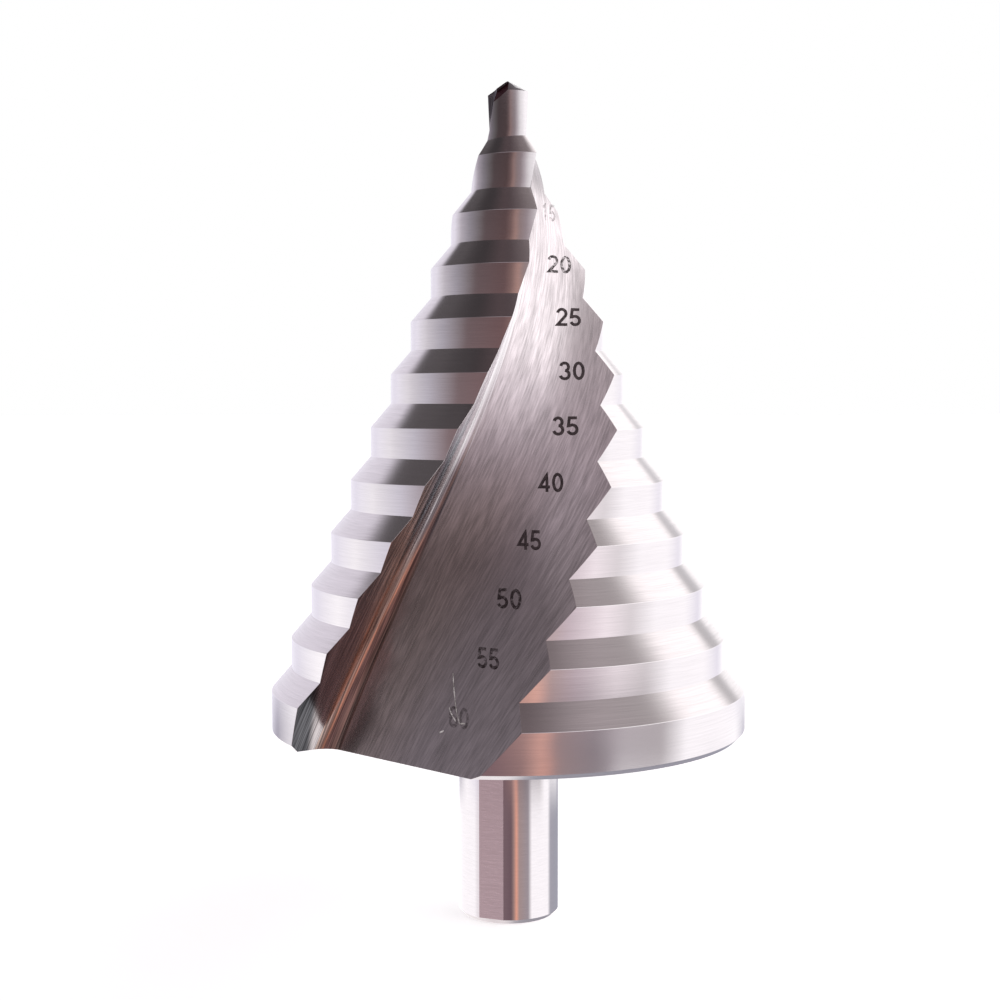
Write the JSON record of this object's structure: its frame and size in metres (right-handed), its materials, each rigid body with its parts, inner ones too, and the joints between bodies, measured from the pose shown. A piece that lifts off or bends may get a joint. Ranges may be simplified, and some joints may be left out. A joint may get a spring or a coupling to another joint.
{
  "type": "step drill",
  "caption": "Conical step drill for sheet metal with spiral flutes, stepped cutting lands, a pilot point and a round shank with flats.",
  "frame": {"origin": "centre of the shank's flat end, which the drill stands on", "axes": "+Z along the drill's axis, from the shank up to the point"},
  "size_m": [0.0598, 0.0592, 0.1052],
  "materials": {
    "ground_steel": "bright ground high-speed steel"
  },
  "bodies": {
    "root": {"step_drill": "ground_steel"}
  },
  "joints": []
}
